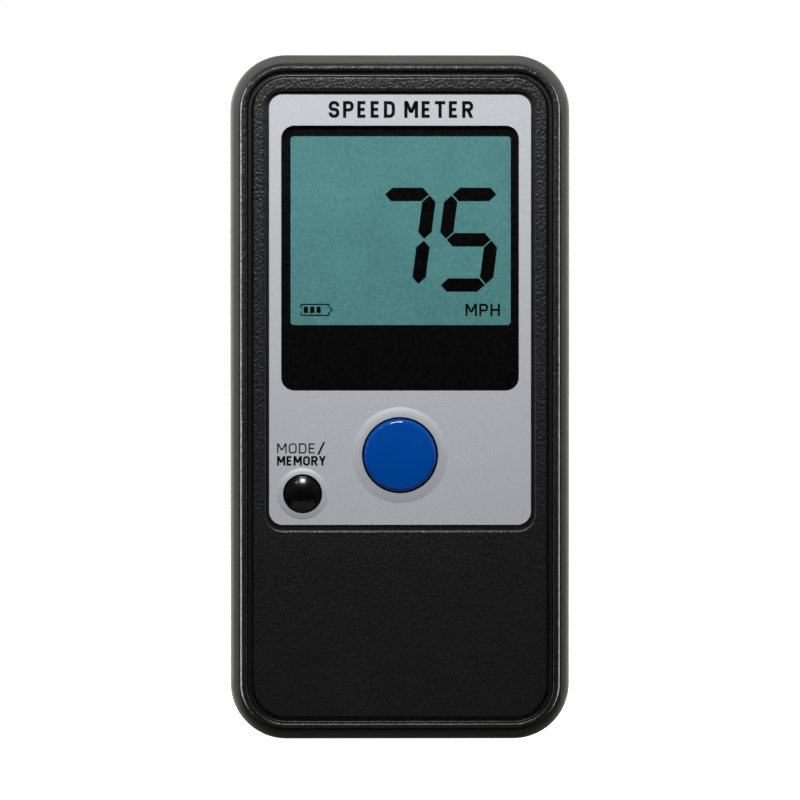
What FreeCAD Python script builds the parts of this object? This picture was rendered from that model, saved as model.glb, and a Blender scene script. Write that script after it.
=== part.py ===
import FreeCAD, Part
import math
import os

# A palm-size speed radar in millimetres, with one STEP file for each physical piece.
# The unit stands on its bottom end. +Z runs up the case, the display faces -Y, and the
# origin is the middle of the bottom end. "Depth" is the distance behind the front plane.

Vector = FreeCAD.Vector

# ---- Driving dimensions ------------------------------------------------------------------

CASE_WIDTH = 58.5
CASE_HEIGHT = 118.0
CASE_DEPTH = 21.0
CASE_CORNER = 9.6               # outline corner radius seen from the front
CASE_MIDDLE = CASE_HEIGHT / 2

BAND_THICKNESS = 1.7            # elastomer band that wraps the two shells
BAND_FRONT = 2.0
BAND_BACK = CASE_DEPTH - 2.0
BAND_ROUNDING = 1.4
BAND_INNER_CHAMFER = 0.2
TONGUE_HEIGHT = 0.85            # rib inside the band, clamped between the shells
PARTING = 10.0                  # depth where the two shells meet
TONGUE_HALF = 0.6

SHELL_GAP = 0.05                # between the shells and the band
SHELL_INSET = BAND_THICKNESS + SHELL_GAP
SHELL_WALL = 1.9
CAVITY_INSET = SHELL_INSET + SHELL_WALL
FRONT_RIM_ROUNDING = 0.6
BACK_ROUNDING = 1.6
PLATE_BACK = 2.9                # inner face of the front shell's plate
REAR_PLATE = CASE_DEPTH - 1.8   # inner face of the rear shell's plate

GROOVE_OUTER = 2.95             # insets of the groove that runs round the front face
GROOVE_INNER = 3.8
GROOVE_DEPTH = 0.95
RIM_INNER_ROUNDING = 0.5
LAND_DEPTH = 0.22               # front face inside the groove
LAND_ROUNDING = 0.45
TROUGH_ROUNDING = 0.25

LABEL_WIDTH = 45.1
LABEL_HEIGHT = 74.1
LABEL_CORNER = 2.3
LABEL_MIDDLE = 74.05
LABEL_FRONT = 1.0
LABEL_THICKNESS = 0.25
LABEL_FLOOR = LABEL_FRONT + LABEL_THICKNESS
POCKET_GAP = 0.6                # bare floor round the label's top and sides
POCKET_LOWER_GAP = 0.85         # bare floor below the label
POCKET_ROUNDING = 0.5

WINDOW_WIDTH = 40.8
WINDOW_HEIGHT = 45.5
WINDOW_CORNER = 2.2
WINDOW_MIDDLE = 82.95
WINDOW_FRONT = 1.05
WINDOW_THICKNESS = 1.0
WINDOW_GAP = 0.08

VIEW_WIDTH = 38.0               # lit area of the display
VIEW_HEIGHT = 32.7
VIEW_MIDDLE = 87.8
APERTURE_MARGIN = 0.7           # hole in the plate, beyond the lit area

MAIN_X, MAIN_Z = 0.0, 49.0
MAIN_RADIUS = 6.3
MAIN_TRAVEL = 0.7               # how far the button can be pressed
MODE_X, MODE_Z = -16.8, 42.35
MODE_RADIUS = 3.1
MODE_TRAVEL = 0.5
BUTTON_CROWN = 0.1              # depth of the highest point of both buttons
BUTTON_GAP = 0.2                # between a button and the shell
FLANGE_FRONT = 2.95
FLANGE_THICKNESS = 0.4
FLANGE_WIDTH = 1.2              # how far the flange reaches beyond the visible button
SKIRT_WALL = 1.1
STEM_RADIUS = 1.6
STEM_END = 3.5
COLLAR_RISE = 0.24              # how far the label is pressed up round each button
MAIN_COLLAR_WIDTH = 1.7
MODE_COLLAR_WIDTH = 1.05
COLLAR_GAP = 0.08               # between a collar and the button's hole in the shell

BOARD_FRONT = 6.4
BOARD_BACK = 7.4
BOARD_WIDTH = 45.0
BOARD_BOTTOM, BOARD_TOP = 12.0, 106.5
BOARD_POSTS = [(x, z) for x in (-20.0, 20.0) for z in (16.0, 60.0)]
SWITCH_SIZE = 6.2
SWITCH_FRONT = 4.4
SWITCH_FLOOR = BOARD_FRONT - 0.2
PLUNGER_RADIUS = 1.75

GASKET_BACK = 3.5
GLASS_THICKNESS = 1.0
GLASS_WIDTH = 42.4
GLASS_BOTTOM, GLASS_TOP = 66.5, 105.6
GLASS_LEDGE = 3.0               # strip of the front glass that carries the contacts
FACE_MARGIN = 0.45              # polarised face of the glass, beyond the lit area
FACE_FRONT = 2.15
FRAME_PINS = [(x, z) for x in (-21.85, 21.85) for z in (67.0, 104.5)]
FRAME_PIN_RADIUS = 0.45

CASE_SCREWS = [(x, z) for x in (-21.0, 21.0) for z in (8.0, 110.0)]
SCREW_RADIUS = 1.0
WELL_RADIUS = 2.15
WELL_FLOOR = 15.0
BOSS_MEET = 12.6                # depth where the front and rear screw bosses meet

CELL_RADIUS = 5.25              # AAA cells, 10.5 mm across and 44.5 mm long
CELL_LENGTH = 44.5
CELL_X = 5.6
CELL_DEPTH = 13.9               # depth of both cell axes
NUB_RADIUS, NUB_LENGTH = 1.9, 1.0
BAY_HALF_WIDTH = 11.4
BAY_BOTTOM, BAY_TOP = 15.2, 64.9
BAY_FLOOR = 8.6
BAY_WALL = 1.2
CONTACT_THICKNESS = 0.4
SPRING_WIRE = 0.3

DOOR_HALF_WIDTH = 17.0
DOOR_TOP = 66.4
DOOR_INNER = 19.5
DOOR_GAP = 0.25
HINGE_Z, HINGE_DEPTH = 12.9, 19.7
HINGE_NOSE = 1.3                # radius of the door's rolled bottom edge
TRUNNION_RADIUS, TRUNNION_HOLE = 0.8, 0.85
TRUNNION_LENGTH = 1.4

ANTENNA_FRONT, ANTENNA_BACK = 16.6, 17.4
ANTENNA_WIDTH = 42.0
ANTENNA_BOTTOM, ANTENNA_TOP = 69.5, 106.5
ANTENNA_POSTS = [(x, z) for x in (-18.5, 18.5) for z in (72.5, 103.5)]
PATCH_PITCH = 7.5

FIELD_WIDTH, FIELD_HEIGHT = 33.0, 31.0
FIELD_MIDDLE = 90.0
FIELD_CORNER = 4.0
FIELD_DEPTH = 0.35              # shallow field in the case's back over the antenna

DOOR_LABEL_WIDTH, DOOR_LABEL_HEIGHT = 26.0, 16.0
DOOR_LABEL_MIDDLE = 36.0
DOOR_LABEL_CORNER = 1.5
DOOR_LABEL_SEAT = 0.15
DOOR_LABEL_THICKNESS = 0.12

STRAP_X, STRAP_Z = 22.0, 22.0   # middle of the wrist strap's eyelet
STRAP_SLOT = 4.4                # length of both its slots


# ---- Building blocks ---------------------------------------------------------------------

def at_depth(depth):
    """The Y of a plane that lies this far behind the front plane."""
    return depth - CASE_DEPTH / 2


def rounded_wire(width, height, radius, x, z):
    """A rounded rectangle in the XZ plane, centred on (x, z)."""
    right, top = width / 2, height / 2
    corners = [(right, top, 0), (-right, top, 90), (-right, -top, 180), (right, -top, 270)]
    edges, points = [], []
    for cx, cz, start in corners:
        centre_x = x + cx - math.copysign(radius, cx)
        centre_z = z + cz - math.copysign(radius, cz)

        def on_arc(degrees):
            turn = math.radians(degrees)
            return Vector(centre_x + radius * math.cos(turn), 0,
                          centre_z + radius * math.sin(turn))

        first, middle, last = on_arc(start), on_arc(start + 45), on_arc(start + 90)
        edges.append(Part.Arc(first, middle, last).toShape())
        points.append((first, last))
    for index in range(4):
        gap = points[index][1], points[(index + 1) % 4][0]
        if gap[0].distanceToPoint(gap[1]) > 1e-6:
            edges.append(Part.LineSegment(*gap).toShape())
    return Part.Wire(Part.__sortEdges__(edges))


def slab(width, height, radius, near, far, x=0.0, z=CASE_MIDDLE):
    """A rounded rectangular plate between two depths."""
    face = Part.Face(rounded_wire(width, height, radius, x, z))
    face.translate(Vector(0, at_depth(near), 0))
    return face.extrude(Vector(0, far - near, 0))


def outline(inset, near, far):
    """A plate with the case's own outline, moved inward by inset."""
    return slab(CASE_WIDTH - 2 * inset, CASE_HEIGHT - 2 * inset, CASE_CORNER - inset, near, far)


def ring(outer_inset, inner_inset, near, far):
    """The frame between two insets of the case outline."""
    return outline(outer_inset, near, far).cut(outline(inner_inset, near - 1, far + 1))


def block(left, right, bottom, top, near, far):
    """A plain box given by its X, Z and depth limits."""
    corner = Vector(left, at_depth(near), bottom)
    return Part.makeBox(right - left, far - near, top - bottom, corner)


def disc(radius, near, far, x=0.0, z=0.0):
    """A cylinder along Y between two depths."""
    return Part.makeCylinder(radius, far - near, Vector(x, at_depth(near), z), Vector(0, 1, 0))


def tube(outer, inner, near, far, x=0.0, z=0.0):
    """A hollow cylinder along Y."""
    return disc(outer, near, far, x, z).cut(disc(inner, near - 1, far + 1, x, z))


def turned(segments, x, z):
    """A solid turned about a Y axis at (x, z). Each segment is a list of two or three
    (radius, depth) points: a straight line or an arc through the middle one."""
    edges = []
    for segment in segments:
        points = [Vector(radius, at_depth(depth), 0) for radius, depth in segment]
        curve = Part.LineSegment(*points) if len(points) == 2 else Part.Arc(*points)
        edges.append(curve.toShape())
    face = Part.Face(Part.Wire(edges))
    solid = face.revolve(Vector(0, 0, 0), Vector(0, 1, 0), 360)
    solid.translate(Vector(x, 0, z))
    return solid


def union(shapes):
    """All the shapes as one."""
    whole = shapes[0]
    for shape in shapes[1:]:
        whole = whole.fuse(shape)
    return whole.removeSplitter()


def group(shapes):
    """Separate solids kept in one node."""
    return Part.makeCompound(shapes)


def edges_at(shape, depth, keep=lambda edge: True):
    """The edges that lie wholly in the plane at this depth."""
    y = at_depth(depth)
    return [edge for edge in shape.Edges
            if abs(edge.BoundBox.YMin - y) < 1e-4 and abs(edge.BoundBox.YMax - y) < 1e-4
            and keep(edge)]


def reaches(half_width):
    """A test for edges of a loop about X = 0 that is this wide: its sides and corners."""
    def test(edge):
        box = edge.BoundBox
        return max(abs(box.XMin), abs(box.XMax)) < half_width + 1e-3
    return test


def loop_at_inset(inset):
    """A test for the edges of the case outline at this inset."""
    right, top = CASE_WIDTH / 2 - inset, CASE_HEIGHT / 2 - inset
    radius = CASE_CORNER - inset

    def test(edge):
        for vertex in edge.Vertexes:
            x, z = abs(vertex.X), abs(vertex.Z - CASE_MIDDLE)
            on_side = abs(x - right) < 1e-3 and z < top - radius + 1e-3
            on_end = abs(z - top) < 1e-3 and x < right - radius + 1e-3
            if not (on_side or on_end):
                return False
        return True
    return test


# ---- Casing ------------------------------------------------------------------------------

def front_face():
    """The front shell's outside: rounded rim, groove, and the land inside the groove."""
    body = outline(SHELL_INSET, 0, PARTING)
    body = body.makeFillet(FRONT_RIM_ROUNDING, edges_at(body, 0))
    body = body.cut(outline(GROOVE_INNER, -1, LAND_DEPTH))
    body = body.cut(ring(GROOVE_OUTER, GROOVE_INNER, -1, GROOVE_DEPTH))
    body = body.makeFillet(RIM_INNER_ROUNDING, edges_at(body, 0, loop_at_inset(GROOVE_OUTER)))
    body = body.makeFillet(LAND_ROUNDING, edges_at(body, LAND_DEPTH, loop_at_inset(GROOVE_INNER)))
    trough = edges_at(body, GROOVE_DEPTH, loop_at_inset(GROOVE_OUTER))
    trough += edges_at(body, GROOVE_DEPTH, loop_at_inset(GROOVE_INNER))
    return body.makeFillet(TROUGH_ROUNDING, trough)


def sink_label_pocket(body):
    """Cuts the recess that the label lies in, with a rounded lip."""
    width = LABEL_WIDTH + 2 * POCKET_GAP
    height = LABEL_HEIGHT + POCKET_GAP + POCKET_LOWER_GAP
    middle = LABEL_MIDDLE + (POCKET_GAP - POCKET_LOWER_GAP) / 2
    well = slab(width, height, LABEL_CORNER + POCKET_GAP, -1, LABEL_FLOOR, z=middle)
    body = body.cut(well)
    return body.makeFillet(POCKET_ROUNDING, edges_at(body, LAND_DEPTH, reaches(width / 2)))


def front_shell():
    body = sink_label_pocket(front_face())

    body = body.cut(outline(CAVITY_INSET, PLATE_BACK, PARTING + 1))
    body = body.cut(ring(SHELL_INSET - 1, SHELL_INSET + TONGUE_HEIGHT,
                         PARTING - TONGUE_HALF - SHELL_GAP, PARTING + 1))

    window_back = WINDOW_FRONT + WINDOW_THICKNESS
    posts = [disc(2.6, PLATE_BACK - 0.2, BOSS_MEET, x, z) for x, z in CASE_SCREWS]
    posts += [disc(2.1, PLATE_BACK - 0.2, BOARD_FRONT, x, z) for x, z in BOARD_POSTS]
    posts += [tube(MAIN_RADIUS + 2.9, MAIN_RADIUS + 1.7, PLATE_BACK - 0.2, 3.9, MAIN_X, MAIN_Z)]
    posts += [tube(MODE_RADIUS + 2.3, MODE_RADIUS + 1.4, PLATE_BACK - 0.2, 3.9, MODE_X, MODE_Z)]
    body = union([body] + posts)

    holes = [
        slab(WINDOW_WIDTH + 2 * WINDOW_GAP, WINDOW_HEIGHT + 2 * WINDOW_GAP,
             WINDOW_CORNER + WINDOW_GAP, 0, window_back, z=WINDOW_MIDDLE),
        slab(VIEW_WIDTH + 2 * APERTURE_MARGIN, VIEW_HEIGHT + 2 * APERTURE_MARGIN,
             1.2, 0, PLATE_BACK + 1, z=VIEW_MIDDLE),
        disc(MAIN_RADIUS + BUTTON_GAP, 0, PLATE_BACK + 0.5, MAIN_X, MAIN_Z),
        disc(MODE_RADIUS + BUTTON_GAP, 0, PLATE_BACK + 0.5, MODE_X, MODE_Z),
    ]
    holes += [disc(SCREW_RADIUS, 5.0, BOSS_MEET + 1, x, z) for x, z in CASE_SCREWS]
    holes += [disc(0.8, 3.8, BOARD_FRONT + 1, x, z) for x, z in BOARD_POSTS]
    for hole in holes:
        body = body.cut(hole)
    return body


def side_band():
    body = outline(0, BAND_FRONT, BAND_BACK)
    body = body.makeFillet(BAND_ROUNDING, edges_at(body, BAND_FRONT) + edges_at(body, BAND_BACK))
    body = body.cut(outline(BAND_THICKNESS, BAND_FRONT - 1, PARTING - TONGUE_HALF))
    body = body.cut(outline(BAND_THICKNESS, PARTING + TONGUE_HALF, BAND_BACK + 1))
    body = body.cut(outline(BAND_THICKNESS + TONGUE_HEIGHT, BAND_FRONT, BAND_BACK))
    inner = loop_at_inset(BAND_THICKNESS)
    body = body.makeChamfer(BAND_INNER_CHAMFER,
                            edges_at(body, BAND_FRONT, inner) + edges_at(body, BAND_BACK, inner))
    return body.cut(strap_side_slot())


def strap_side_slot():
    """The opening in the case's side that the wrist strap leaves by."""
    slot = slab(2.6, STRAP_SLOT, 1.2, 0, 8)
    slot.rotate(Vector(0, at_depth(0), CASE_MIDDLE), Vector(0, 0, 1), 90)
    target = Vector(CASE_WIDTH / 2 + 1, at_depth(15.7), STRAP_Z)
    slot.translate(target - Vector(0, at_depth(0), CASE_MIDDLE))
    return slot


def strap_back_slot():
    """The opening in the case's back that the wrist strap enters by."""
    return slab(2.4, STRAP_SLOT, 1.1, 15, CASE_DEPTH + 1, x=STRAP_X, z=STRAP_Z)


def rear_face():
    """The rear shell's outside, with a shallow field over the antenna."""
    body = outline(SHELL_INSET, PARTING + SHELL_GAP, CASE_DEPTH)
    body = body.makeFillet(BACK_ROUNDING, edges_at(body, CASE_DEPTH))
    body = body.cut(slab(FIELD_WIDTH, FIELD_HEIGHT, FIELD_CORNER, CASE_DEPTH - FIELD_DEPTH,
                         CASE_DEPTH + 1, z=FIELD_MIDDLE))
    in_field = reaches(FIELD_WIDTH / 2)
    rim = edges_at(body, CASE_DEPTH, lambda edge: in_field(edge) and
                   abs(edge.CenterOfMass.z - FIELD_MIDDLE) < FIELD_HEIGHT / 2 + 1e-3)
    body = body.makeFillet(0.3, rim)
    body = body.cut(outline(CAVITY_INSET, PARTING - 1, REAR_PLATE))
    return body.cut(ring(SHELL_INSET - 1, SHELL_INSET + TONGUE_HEIGHT,
                         PARTING - 1, PARTING + TONGUE_HALF + SHELL_GAP))


def door_opening():
    """The seat that the battery door closes into, the hinge trough and the trunnion holes."""
    half = DOOR_HALF_WIDTH + DOOR_GAP
    lip = HINGE_Z - HINGE_NOSE - DOOR_GAP
    top = DOOR_TOP + 0.2
    seat_depth = DOOR_INNER - 0.1
    seat = slab(2 * half, top - lip, 2.2, seat_depth, CASE_DEPTH + 1, z=(top + lip) / 2)
    corners = block(-half, half, lip, lip + 3, seat_depth, CASE_DEPTH + 1)
    trough = block(-half, half, lip, HINGE_Z + HINGE_NOSE + 0.15,
                   HINGE_DEPTH - HINGE_NOSE - DOOR_GAP, CASE_DEPTH)
    reach = half + TRUNNION_LENGTH
    hole = Part.makeCylinder(TRUNNION_HOLE, 2 * reach,
                             Vector(-reach, at_depth(HINGE_DEPTH), HINGE_Z), Vector(1, 0, 0))
    return [seat, corners, trough, hole]


def rear_shell():
    merge = 0.2                 # how far the inner features reach into the shell's plate
    frame_half, frame_front, frame_margin = 19.2, 17.0, 1.7
    frame_bottom = HINGE_Z - HINGE_NOSE - DOOR_GAP - frame_margin
    bay_floor_thickness = 0.9
    eyelet_left, eyelet_right, eyelet_front, eyelet_wall = 19.9, 25.8, 13.3, 1.0
    eyelet_half = STRAP_SLOT / 2 + eyelet_wall
    solids = [
        rear_face(),
        block(-frame_half, frame_half, frame_bottom, DOOR_TOP + frame_margin, frame_front,
              REAR_PLATE + merge),
        block(-BAY_HALF_WIDTH - BAY_WALL, BAY_HALF_WIDTH + BAY_WALL, BAY_BOTTOM - BAY_WALL,
              BAY_TOP + BAY_WALL, BAY_FLOOR - bay_floor_thickness, frame_front + merge),
        block(eyelet_left, eyelet_right, STRAP_Z - eyelet_half, STRAP_Z + eyelet_half,
              eyelet_front, REAR_PLATE + merge),
    ]
    solids += [disc(2.9, BOSS_MEET, REAR_PLATE + merge, x, z) for x, z in CASE_SCREWS]
    body = union(solids)
    cuts = door_opening()
    cuts += [
        block(-BAY_HALF_WIDTH, BAY_HALF_WIDTH, BAY_BOTTOM, BAY_TOP, BAY_FLOOR, CASE_DEPTH + 1),
        block(eyelet_left + eyelet_wall, eyelet_right + 0.2, STRAP_Z - STRAP_SLOT / 2,
              STRAP_Z + STRAP_SLOT / 2, eyelet_front + eyelet_wall, REAR_PLATE),
        strap_side_slot(),
        strap_back_slot(),
    ]
    for x, z in CASE_SCREWS:
        cuts += [disc(WELL_RADIUS, WELL_FLOOR, CASE_DEPTH + 1, x, z),
                 disc(SCREW_RADIUS + 0.15, BOSS_MEET - 1, CASE_DEPTH, x, z)]
    for x in (-CELL_X, CELL_X):
        cuts.append(block(x - 1.1, x + 1.1, BAY_TOP - CONTACT_THICKNESS - 0.1, BAY_TOP,
                          BAY_FLOOR - 2, BAY_FLOOR + 1))
    for cut in cuts:
        body = body.cut(cut)
    return body


def battery_door():
    bottom, half = HINGE_Z, DOOR_HALF_WIDTH
    plate = slab(2 * half, DOOR_TOP - bottom + 4, 2.0, DOOR_INNER, CASE_DEPTH,
                 z=(DOOR_TOP + bottom - 4) / 2)
    plate = plate.cut(block(-half - 1, half + 1, bottom - 6, bottom, 0, CASE_DEPTH + 1))

    def along_x(radius, reach):
        start = Vector(-reach, at_depth(HINGE_DEPTH), HINGE_Z)
        return Part.makeCylinder(radius, 2 * reach, start, Vector(1, 0, 0))

    nose = along_x(HINGE_NOSE, half)
    divider = block(-0.6, 0.6, 18.0, 58.0, 17.2, DOOR_INNER + 0.2)
    body = union([plate, nose, along_x(TRUNNION_RADIUS, half + TRUNNION_LENGTH - 0.2), divider])

    tongue_root, slit = 54.5, 0.6
    for side in (-1, 1):
        x = side * 7.5
        body = body.cut(block(x - slit / 2, x + slit / 2, tongue_root, DOOR_TOP + 1,
                              DOOR_INNER - 1, CASE_DEPTH + 1))
    scoop_z, scoop_radius, scoop_depth, scoop_width = 60.6, 14.0, 0.9, 11.0
    scoop_y = at_depth(CASE_DEPTH + scoop_radius - scoop_depth)
    body = body.cut(Part.makeCylinder(scoop_radius, scoop_width,
                                      Vector(-scoop_width / 2, scoop_y, scoop_z), Vector(1, 0, 0)))
    rib_radius, rib_width, rib_pitch = 0.45, 9.0, 1.8
    ribs = []
    for step in (-1, 0, 1):
        start = Vector(-rib_width / 2, at_depth(CASE_DEPTH - 0.62), scoop_z + rib_pitch * step)
        ribs.append(Part.makeCylinder(rib_radius, rib_width, start, Vector(1, 0, 0)))
    body = union([body] + ribs)
    gap = 0.1
    return body.cut(slab(DOOR_LABEL_WIDTH + 2 * gap, DOOR_LABEL_HEIGHT + 2 * gap,
                         DOOR_LABEL_CORNER + gap, CASE_DEPTH - DOOR_LABEL_SEAT, CASE_DEPTH + 1,
                         z=DOOR_LABEL_MIDDLE))


def door_label():
    seat = CASE_DEPTH - DOOR_LABEL_SEAT
    return slab(DOOR_LABEL_WIDTH, DOOR_LABEL_HEIGHT, DOOR_LABEL_CORNER, seat,
                seat + DOOR_LABEL_THICKNESS, z=DOOR_LABEL_MIDDLE)


def screw(x, z, seat, shank_radius, shank_length, head_radius, head_height):
    """A pan-head screw whose head rests on a seat and whose shank runs toward the front."""
    head = disc(head_radius, seat, seat + head_height, x, z)
    head = head.makeFillet(head_height * 0.45, edges_at(head, seat + head_height))
    recess = [block(x - head_radius * 0.6, x + head_radius * 0.6, z - 0.2, z + 0.2,
                    seat + head_height * 0.45, seat + head_height + 1),
              block(x - 0.2, x + 0.2, z - head_radius * 0.6, z + head_radius * 0.6,
                    seat + head_height * 0.45, seat + head_height + 1)]
    for slot in recess:
        head = head.cut(slot)
    shank = disc(shank_radius, seat - shank_length, seat, x, z)
    shank = shank.makeChamfer(shank_radius * 0.45, edges_at(shank, seat - shank_length))
    return union([head, shank])


def case_screws():
    return group([screw(x, z, WELL_FLOOR, SCREW_RADIUS, 9.0, 1.9, 1.5)
                  for x, z in CASE_SCREWS])


# ---- Front panel -------------------------------------------------------------------------

def collar(x, z, inner, width):
    """The ring of the label pressed up round a button: level at the button, falling outwards."""
    outer = inner + width
    crown = LABEL_FRONT - COLLAR_RISE
    halfway = (inner + width / 2, crown + 0.25 * COLLAR_RISE)
    segments = [
        [(inner, LABEL_FLOOR), (outer, LABEL_FLOOR)],
        [(outer, LABEL_FLOOR), (outer, LABEL_FRONT)],
        [(outer, LABEL_FRONT), halfway, (inner, crown)],
        [(inner, crown), (inner, LABEL_FLOOR)],
    ]
    return turned(segments, x, z)


def front_label():
    body = slab(LABEL_WIDTH, LABEL_HEIGHT, LABEL_CORNER, LABEL_FRONT, LABEL_FLOOR, z=LABEL_MIDDLE)
    gap = WINDOW_GAP
    body = body.cut(slab(WINDOW_WIDTH + 2 * gap, WINDOW_HEIGHT + 2 * gap, WINDOW_CORNER + gap,
                         0, 3, z=WINDOW_MIDDLE))
    buttons = [
        (MAIN_X, MAIN_Z, MAIN_RADIUS, MAIN_COLLAR_WIDTH),
        (MODE_X, MODE_Z, MODE_RADIUS, MODE_COLLAR_WIDTH),
    ]
    for x, z, radius, width in buttons:
        inner = radius + BUTTON_GAP + COLLAR_GAP
        body = body.cut(disc(inner + width / 2, 0, 3, x, z))
        body = body.fuse(collar(x, z, inner, width))
    return body.removeSplitter()


def display_window():
    back = WINDOW_FRONT + WINDOW_THICKNESS
    body = slab(WINDOW_WIDTH, WINDOW_HEIGHT, WINDOW_CORNER, WINDOW_FRONT, back, z=WINDOW_MIDDLE)
    return body.makeFillet(0.12, edges_at(body, WINDOW_FRONT))


def button(x, z, radius, crown_drop, edge_drop):
    """A domed key with a retaining flange and a short stem. Its skirt is hollow."""
    crown, top_edge = BUTTON_CROWN, BUTTON_CROWN + crown_drop
    side_start = top_edge + edge_drop
    shoulder = radius - edge_drop
    flange_back = FLANGE_FRONT + FLANGE_THICKNESS
    dome_middle = (shoulder / 2, crown + crown_drop / 4)
    bend = (radius - edge_drop * (1 - math.sqrt(0.5)), top_edge + edge_drop * (1 - math.sqrt(0.5)))
    flange_radius = radius + FLANGE_WIDTH
    segments = [
        [(0, crown), dome_middle, (shoulder, top_edge)],
        [(shoulder, top_edge), bend, (radius, side_start)],
        [(radius, side_start), (radius, FLANGE_FRONT)],
        [(radius, FLANGE_FRONT), (flange_radius, FLANGE_FRONT)],
        [(flange_radius, FLANGE_FRONT), (flange_radius, flange_back)],
        [(flange_radius, flange_back), (STEM_RADIUS, flange_back)],
        [(STEM_RADIUS, flange_back), (STEM_RADIUS, STEM_END)],
        [(STEM_RADIUS, STEM_END), (0, STEM_END)],
        [(0, STEM_END), (0, crown)],
    ]
    body = turned(segments, x, z)
    hollow = tube(radius - SKIRT_WALL, STEM_RADIUS, side_start + 0.7, flange_back + 1, x, z)
    return body.cut(hollow)


def main_button():
    return button(MAIN_X, MAIN_Z, MAIN_RADIUS, crown_drop=0.25, edge_drop=0.9)


def mode_button():
    return button(MODE_X, MODE_Z, MODE_RADIUS, crown_drop=0.8, edge_drop=0.2)


# ---- Display -----------------------------------------------------------------------------

def glass_plate(bottom, near, far, trim=0.0):
    width = GLASS_WIDTH - 2 * trim
    return block(-width / 2, width / 2, bottom + trim, GLASS_TOP - trim, near, far)


def display_front_glass():
    """The front glass, with a polarised face that fills the aperture up to the window."""
    plate = glass_plate(GLASS_BOTTOM, GASKET_BACK, GASKET_BACK + GLASS_THICKNESS)
    face = slab(VIEW_WIDTH + 2 * FACE_MARGIN, VIEW_HEIGHT + 2 * FACE_MARGIN, 1.0, FACE_FRONT,
                GASKET_BACK, z=VIEW_MIDDLE)
    return union([plate, face])


def display_rear_glass():
    near = GASKET_BACK + GLASS_THICKNESS
    return glass_plate(GLASS_BOTTOM + GLASS_LEDGE, near, near + GLASS_THICKNESS)


def display_reflector():
    near = GASKET_BACK + 2 * GLASS_THICKNESS
    return glass_plate(GLASS_BOTTOM + GLASS_LEDGE, near, near + 0.2, trim=0.6)


def display_gasket():
    hole_width, hole_height = VIEW_WIDTH + 1.6, VIEW_HEIGHT + 1.5
    strip_side, strip_end = 1.1, 1.0
    body = slab(hole_width + 2 * strip_side, hole_height + 2 * strip_end, 1.4, PLATE_BACK,
                GASKET_BACK, z=VIEW_MIDDLE)
    return body.cut(slab(hole_width, hole_height, 1.2, PLATE_BACK - 1, GASKET_BACK + 1,
                         z=VIEW_MIDDLE))


def display_frame():
    """The moulded frame that holds the glass on the board, with four locating pins."""
    gap, side_wall, lower_wall, upper_wall = 0.1, 1.1, 1.1, 0.6
    half, bottom, top = GLASS_WIDTH / 2 + gap, GLASS_BOTTOM - 0.2, GLASS_TOP + 0.2
    body = block(-half - side_wall, half + side_wall, bottom - lower_wall, top + upper_wall,
                 GASKET_BACK, BOARD_FRONT)
    body = body.cut(block(-half, half, bottom, top, 0, BOARD_FRONT + 1))
    pins = [disc(FRAME_PIN_RADIUS, BOARD_FRONT, BOARD_BACK + 0.5, x, z) for x, z in FRAME_PINS]
    return union([body] + pins)


def contact_strip():
    """The rubber strip that joins the glass ledge to the board."""
    return block(-20.0, 20.0, 66.8, 69.2, GASKET_BACK + GLASS_THICKNESS, BOARD_FRONT)


# ---- Main board --------------------------------------------------------------------------

def main_board():
    height = BOARD_TOP - BOARD_BOTTOM
    body = slab(BOARD_WIDTH, height, 1.0, BOARD_FRONT, BOARD_BACK, z=BOARD_BOTTOM + height / 2)
    holes = [(x, z, 0.9) for x, z in BOARD_POSTS]
    holes += [(x, z, FRAME_PIN_RADIUS + 0.05) for x, z in FRAME_PINS]
    for x, z, radius in holes:
        body = body.cut(disc(radius, BOARD_FRONT - 1, BOARD_BACK + 1, x, z))
    return body


def board_screws():
    return group([screw(x, z, BOARD_BACK, 0.8, 3.4, 1.6, 1.1) for x, z in BOARD_POSTS])


def switch(x, z):
    half = SWITCH_SIZE / 2
    body = block(x - half, x + half, z - half, z + half, SWITCH_FRONT, BOARD_FRONT)
    corners = [edge for edge in body.Edges
               if edge.BoundBox.YLength > 1.0]
    body = body.makeChamfer(0.5, corners)
    return body.cut(disc(PLUNGER_RADIUS + 0.05, SWITCH_FRONT - 1, SWITCH_FLOOR, x, z))


def plunger(x, z, travel):
    """A switch's plunger. Pressed home, it stops just short of the switch's floor."""
    body = disc(PLUNGER_RADIUS, STEM_END, SWITCH_FLOOR - travel - 0.15, x, z)
    return body.makeFillet(0.2, edges_at(body, STEM_END))


def main_switch():
    return switch(MAIN_X, MAIN_Z)


def main_switch_plunger():
    return plunger(MAIN_X, MAIN_Z, MAIN_TRAVEL)


def mode_switch():
    return switch(MODE_X, MODE_Z)


def mode_switch_plunger():
    return plunger(MODE_X, MODE_Z, MODE_TRAVEL)


def chip(x, z, width, height, thickness, board=BOARD_BACK):
    """A chip package standing behind a board, with pin 1 marked by a shallow dimple."""
    body = block(x - width / 2, x + width / 2, z - height / 2, z + height / 2,
                 board, board + thickness)
    body = body.makeChamfer(0.15, edges_at(body, board + thickness))
    dimple = disc(0.4, board + thickness - 0.1, board + thickness + 1,
                  x - width / 2 + 1.1, z + height / 2 - 1.1)
    return body.cut(dimple)


def leads(x, z, size, count, pitch):
    """Gull-wing leads down both sides of a square package, each a separate solid."""
    pieces = []
    for side in (-1, 1):
        edge = x + side * size / 2
        for index in range(count):
            lead_z = z + (index - (count - 1) / 2) * pitch
            near, far = sorted((edge, edge + side * 1.0))
            pieces.append(block(near, far, lead_z - 0.15, lead_z + 0.15,
                                BOARD_BACK, BOARD_BACK + 0.25))
    return pieces


def processor_chip():
    return chip(-10.0, 93.0, 10.0, 10.0, 1.2)


def signal_chip():
    return chip(8.0, 95.0, 8.0, 8.0, 1.0)


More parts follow.
